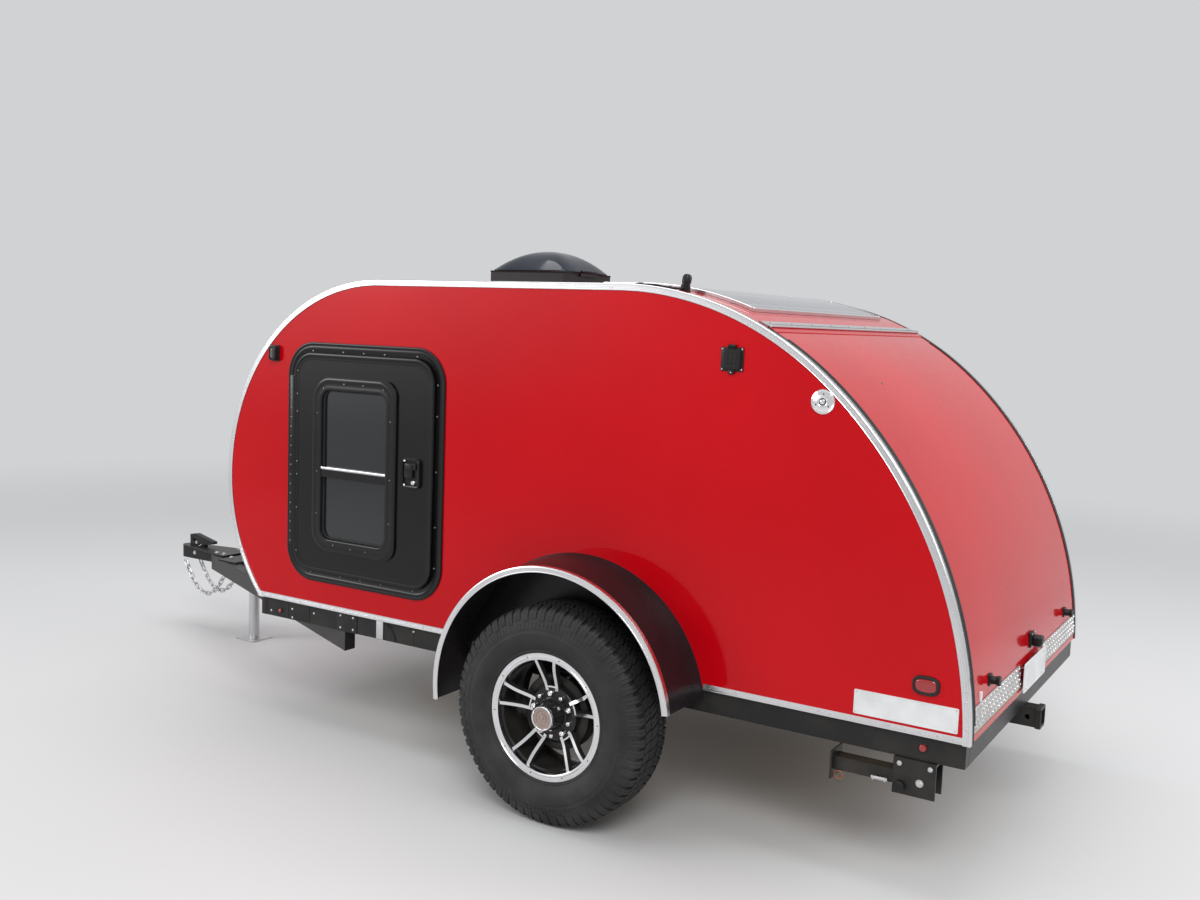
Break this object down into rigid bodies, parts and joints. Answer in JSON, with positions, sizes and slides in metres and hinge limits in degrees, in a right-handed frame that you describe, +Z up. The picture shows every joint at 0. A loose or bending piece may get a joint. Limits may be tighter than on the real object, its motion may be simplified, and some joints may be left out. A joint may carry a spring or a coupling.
{
  "type": "teardrop trailer",
  "caption": "Small sleeping trailer with a curved teardrop body, side doors with sliding windows, a rear galley hatch, roof vent, solar sheet and tongue jack.",
  "frame": {"origin": "middle of the overall length and width, on the ground", "axes": "+X forwards to the coupler, +Y to the trailer's left, +Z up"},
  "size_m": [4.26, 2.014, 1.9043],
  "materials": {
    "red_skin": "gloss",
    "red_hatch": "gloss",
    "bright_trim": "satin",
    "tread_metal": "polished",
    "black_paint": "semi-gloss",
    "zinc": "satin",
    "tyre": "matte",
    "cast_wheel": "satin black with machined faces",
    "black_fender": "gloss",
    "door_black": "gloss",
    "tinted_glass": "tinted",
    "black_plastic": "matte",
    "seal_rubber": "matte",
    "birch_ply": "satin",
    "mattress_cloth": "woven",
    "vent_black": "matte",
    "vent_smoked": "gloss",
    "solar_cells": "gloss",
    "lamp_chrome": "polished",
    "marker_red": "gloss",
    "plate_white": "satin"
  },
  "bodies": {
    "trailer": {"side_wall_left": "red_skin", "side_wall_right": "red_skin", "roof_shell": "red_skin", "rear_sill": "red_skin", "edge_trim_left": "bright_trim", "edge_trim_right": "bright_trim", "fender_edge_left": "bright_trim", "fender_edge_right": "bright_trim", "roof_hinge": "bright_trim", "side_rail_left": "black_paint", "side_rail_right": "black_paint", "crossmembers": "black_paint", "tongue_left": "black_paint", "tongue_right": "black_paint", "coupler": "black_paint", "coupler_latch": "black_paint", "jack_tube": "black_paint", "receiver": "black_paint", "axle": "black_paint", "stabiliser_bracket_left": "black_paint", "stabiliser_bracket_right": "black_paint", "safety_chains": "zinc", "fender_left": "black_fender", "fender_right": "black_fender", "door_frame_left": "door_black", "door_frame_right": "door_black", "side_inlet": "black_plastic", "porch_lights": "black_plastic", "hatch_seal": "seal_rubber", "floor": "birch_ply", "bulkhead": "birch_ply", "galley": "birch_ply", "mattress": "mattress_cloth", "vent_base": "vent_black", "solar_panel": "solar_cells", "side_lamp": "lamp_chrome", "markers": "marker_red"},
    "left_wheel": {"tyre_left": "tyre", "wheel_left": "cast_wheel"},
    "right_wheel": {"tyre_right": "tyre", "wheel_right": "cast_wheel"},
    "left_door": {"door_left": "door_black", "pane_left": "tinted_glass", "door_handle_left": "black_plastic"},
    "right_door": {"door_right": "door_black", "pane_right": "tinted_glass", "door_handle_right": "black_plastic"},
    "hatch": {"hatch_shell": "red_hatch", "hatch_hinge": "bright_trim", "tread_plate": "tread_metal", "number_plate": "plate_white", "hatch_latches": "black_plastic"},
    "roof_vent": {"vent_lid": "vent_smoked"},
    "left_stabiliser": {"stabiliser_left": "black_paint"},
    "right_stabiliser": {"stabiliser_right": "black_paint"},
    "jack_foot": {"jack_leg": "zinc"}
  },
  "joints": [
    {"name": "left_wheel_spin", "type": "hinge", "parent": "trailer", "child": "left_wheel", "pos_m": [-0.8, 0.898, 0.3595], "axis": [0, 1, 0], "continuous": true},
    {"name": "right_wheel_spin", "type": "hinge", "parent": "trailer", "child": "right_wheel", "pos_m": [-0.8, -0.898, 0.3595], "axis": [0, 1, 0], "continuous": true},
    {"name": "left_door_hinge", "type": "hinge", "parent": "trailer", "child": "left_door", "pos_m": [0.55, 0.775, 1.0505], "axis": [0, 0, -1], "range_deg": [0, 130]},
    {"name": "right_door_hinge", "type": "hinge", "parent": "trailer", "child": "right_door", "pos_m": [0.55, -0.775, 1.0505], "axis": [0, 0, 1], "range_deg": [0, 130]},
    {"name": "hatch_hinge", "type": "hinge", "parent": "trailer", "child": "hatch", "pos_m": [-1.40104, 0, 1.63369], "axis": [0, 1, 0], "range_deg": [0, 85]},
    {"name": "vent_hinge", "type": "hinge", "parent": "trailer", "child": "roof_vent", "pos_m": [-0.293, 0, 1.8183], "axis": [0, -1, 0], "range_deg": [0, 70]},
    {"name": "left_stabiliser_pivot", "type": "hinge", "parent": "trailer", "child": "left_stabiliser", "pos_m": [-1.95, 0.724, 0.345], "axis": [0, 1, 0], "range_deg": [0, 85]},
    {"name": "right_stabiliser_pivot", "type": "hinge", "parent": "trailer", "child": "right_stabiliser", "pos_m": [-1.95, -0.724, 0.345], "axis": [0, 1, 0], "range_deg": [0, 85]},
    {"name": "jack_screw", "type": "slide", "parent": "trailer", "child": "jack_foot", "axis": [0, 0, 1], "range_m": [0, 0.25]}
  ]
}
